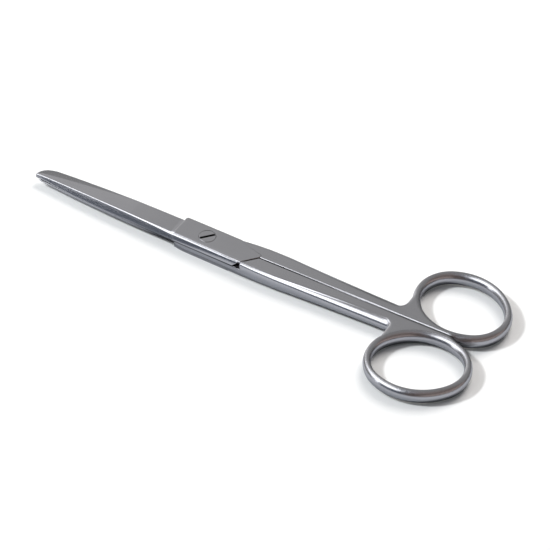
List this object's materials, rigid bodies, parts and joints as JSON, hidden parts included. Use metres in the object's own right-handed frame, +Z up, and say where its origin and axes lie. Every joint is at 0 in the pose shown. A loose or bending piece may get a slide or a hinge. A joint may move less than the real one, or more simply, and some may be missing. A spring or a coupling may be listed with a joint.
{
  "type": "surgical scissors",
  "caption": "Straight steel surgical scissors with one rounded and one pointed blade crossing at a slotted pivot screw, and oval finger rings.",
  "frame": {"origin": "on the pivot axis, in the plane that the closed scissors lie on", "axes": "+X from the blade tips to the finger rings, +Y to the ring of the upper half, +Z up along the pivot axis, to the slotted side of the screw"},
  "size_m": [0.1446, 0.0496, 0.0052],
  "materials": {
    "satin_steel": "satin, ground lengthwise",
    "screw_steel": "satin, ground flush"
  },
  "bodies": {
    "lower": {"lower_half": "satin_steel", "pivot_screw": "screw_steel"},
    "upper": {"upper_half": "satin_steel"}
  },
  "joints": [
    {"name": "pivot", "type": "hinge", "parent": "lower", "child": "upper", "pos_m": [0, 0, 0], "axis": [0, 0, 1], "range_deg": [0, 80]}
  ]
}
